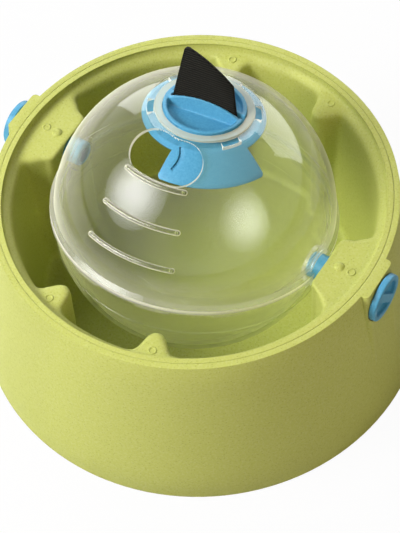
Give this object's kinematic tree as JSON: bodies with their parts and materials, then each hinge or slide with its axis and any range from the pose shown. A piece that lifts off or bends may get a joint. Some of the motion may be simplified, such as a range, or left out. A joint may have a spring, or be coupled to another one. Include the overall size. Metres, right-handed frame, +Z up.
{
  "type": "treat maze ball",
  "caption": "Dog treat dispenser: a clear ball with a metering shutter, filler cap and webbing pull tab rolls on turn-lock pins inside a flared tub with a pocketed tray.",
  "frame": {"origin": "on the floor at the centre of the tub's base", "axes": "+Z up, +X along the axle pins, -Y towards the treat opening"},
  "size_m": [0.266, 0.266, 0.2058],
  "materials": {
    "composite": "speckled fibre composite, satin",
    "clear": "clear, polished",
    "blue": "satin, faintly speckled",
    "webbing": "black ribbed webbing",
    "dowel": "plain"
  },
  "bodies": {
    "tub": {"outer_drum": "composite", "feeding_tray": "composite"},
    "ball": {"ball_upper_shell": "clear", "ball_lower_shell": "clear"},
    "shutter": {"shutter": "blue"},
    "cap": {"filler_cap": "blue", "strap_anchor": "dowel", "pull_strap": "webbing"},
    "pin_left": {"axle_pin_left": "blue"},
    "pin_right": {"axle_pin_right": "blue"}
  },
  "joints": [
    {"name": "ball_roll", "type": "hinge", "parent": "tub", "child": "ball", "pos_m": [0, 0, 0.0975], "axis": [1, 0, 0], "range_deg": [-180, 180], "deforming": ["pull_strap"]},
    {"name": "shutter_turn", "type": "hinge", "parent": "ball", "child": "shutter", "pos_m": [0, 0, 0.0975], "axis": [0, 0.2164, 0.9763], "range_deg": [-30, 29]},
    {"name": "cap_lift", "type": "slide", "parent": "shutter", "child": "cap", "axis": [0, 0.2164, 0.9763], "range_m": [0, 0.007]},
    {"name": "pin_left_turn", "type": "hinge", "parent": "tub", "child": "pin_left", "pos_m": [-0.1, 0, 0.0975], "axis": [-1, 0, 0], "range_deg": [0, 90]},
    {"name": "pin_right_turn", "type": "hinge", "parent": "tub", "child": "pin_right", "pos_m": [0.1, 0, 0.0975], "axis": [1, 0, 0], "range_deg": [0, 90]}
  ]
}
